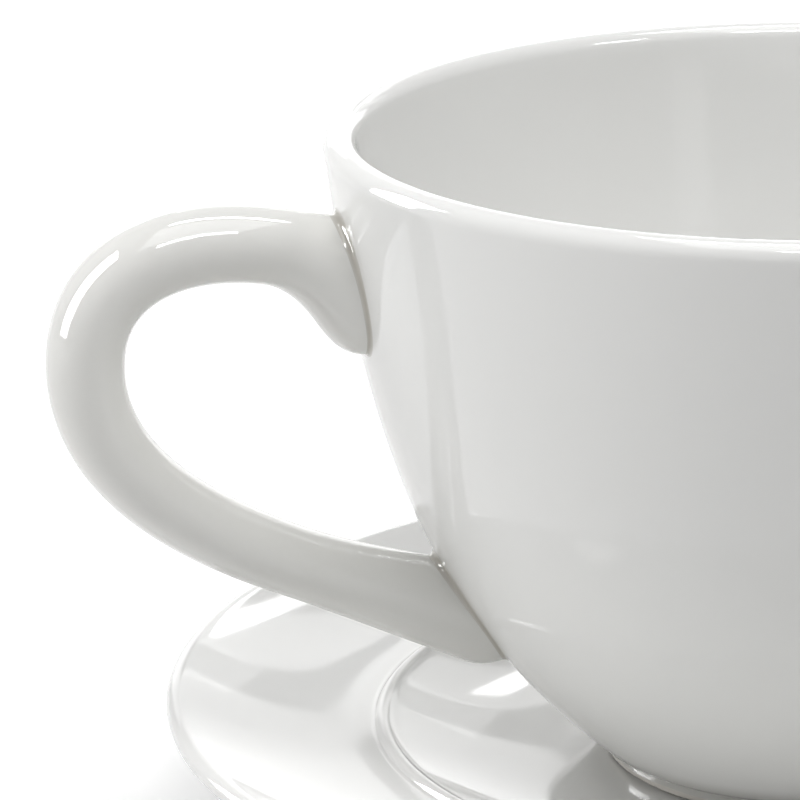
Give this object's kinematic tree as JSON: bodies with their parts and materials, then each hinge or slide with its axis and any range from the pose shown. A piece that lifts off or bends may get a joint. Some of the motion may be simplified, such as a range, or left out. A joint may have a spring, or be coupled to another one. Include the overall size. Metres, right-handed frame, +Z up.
{
  "type": "cup with saucer",
  "caption": "Round-bellied white porcelain tea cup with a looped strap handle, standing in the ringed well of a matching saucer.",
  "frame": {"origin": "on the table plane, at the middle of the footprint of saucer plus overhanging handle; the common axis of cup and saucer stands 6 mm from it along +X", "axes": "+Z up along the cup's axis; the handle points along -X, so X is the longest side and Z the shortest"},
  "size_m": [0.1538, 0.1418, 0.0775],
  "materials": {
    "saucer_porcelain": "glossy clear glaze over white porcelain",
    "cup_porcelain": "glossy clear glaze over white porcelain",
    "slip_seam": "glossy clear glaze pooled over a slip seam"
  },
  "bodies": {
    "saucer": {"saucer": "saucer_porcelain"},
    "cup": {"cup_body": "cup_porcelain", "cup_handle": "cup_porcelain", "upper_slip_joint": "slip_seam", "lower_slip_joint": "slip_seam"}
  },
  "joints": [
    {"name": "cup_lift", "type": "slide", "parent": "saucer", "child": "cup", "axis": [0, 0, 1], "range_m": [0, 0.1]}
  ]
}
